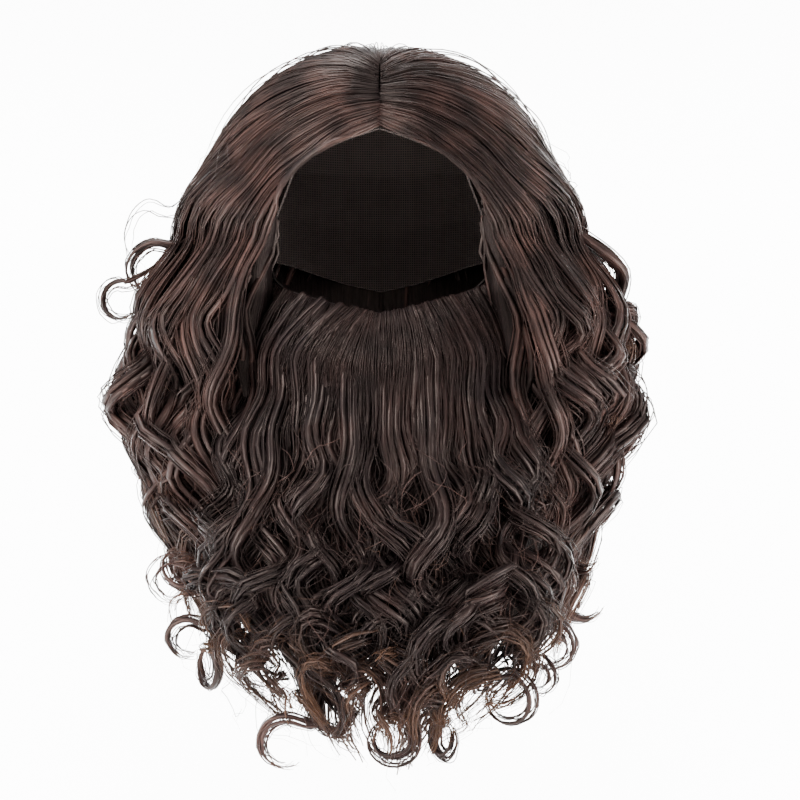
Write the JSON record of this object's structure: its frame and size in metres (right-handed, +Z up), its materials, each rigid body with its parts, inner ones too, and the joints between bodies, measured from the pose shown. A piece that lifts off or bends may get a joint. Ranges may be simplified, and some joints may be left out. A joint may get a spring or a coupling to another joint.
{
  "type": "wizard wig with beard",
  "caption": "Long curly centre-parted wig on a stretch cap, with a full curly beard on its own cloth tied to the cap by elastic straps.",
  "frame": {"origin": "inside of the cap's crown, where the wig sits on the top of a head", "axes": "+Z up, the face looks along -Y, +X is on the right of someone who looks at the face"},
  "size_m": [0.3724, 0.2939, 0.493],
  "materials": {
    "hair": "combed synthetic hair with a soft gloss",
    "beard_hair": "curled synthetic hair, less glossy",
    "net": "matt stretch net",
    "cloth": "matt woven cloth",
    "elastic": "matt woven elastic"
  },
  "bodies": {
    "root": {"wig_cap": "net", "parting_seam": "cloth", "beard_cloth": "cloth", "beard_strap_left": "elastic", "beard_strap_right": "elastic", "crown_hair_left": "hair", "crown_hair_right": "hair", "beard_top_hair": "beard_hair", "beard_hair_left": "beard_hair", "beard_hair_centre": "beard_hair", "beard_hair_right": "beard_hair", "tress_right_front": "hair", "tress_right_side": "hair", "tress_right_rear": "hair", "tress_right_back": "hair", "tress_left_back": "hair", "tress_left_rear": "hair", "tress_left_side": "hair", "tress_left_front": "hair"}
  },
  "joints": []
}
